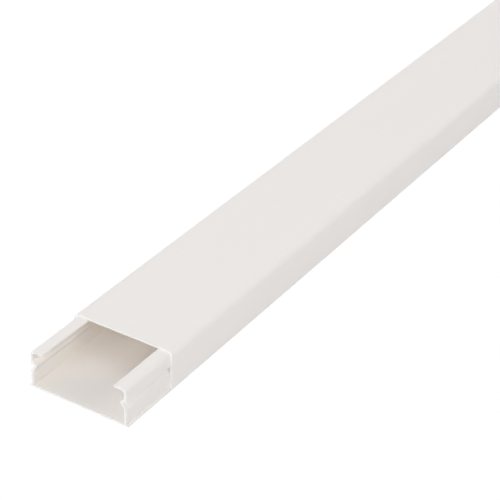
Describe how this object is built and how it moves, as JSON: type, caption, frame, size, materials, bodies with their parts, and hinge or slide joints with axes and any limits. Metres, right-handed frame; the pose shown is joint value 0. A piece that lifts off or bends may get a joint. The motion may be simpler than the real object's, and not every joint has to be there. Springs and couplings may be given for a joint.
{
  "type": "cable trunking",
  "caption": "Snap-lid cable trunking: a flat-backed channel with in-turned lips and grooved walls, and a lid whose legs clip over the walls to hide surface-run cables.",
  "frame": {"origin": "centre of the base channel's back face", "axes": "+X across the width, +Y along the length away from the end that the lid leaves open, +Z from the back face out to the lid"},
  "size_m": [0.0504, 2.0307, 0.0193],
  "materials": {
    "base_pvc": "satin",
    "lid_pvc": "satin"
  },
  "bodies": {
    "channel": {"base_channel": "base_pvc"},
    "cover": {"lid": "lid_pvc"}
  },
  "joints": [
    {"name": "lid_slide", "type": "slide", "parent": "channel", "child": "cover", "axis": [0, 1, 0], "range_m": [-0.0307, 1.971]}
  ]
}
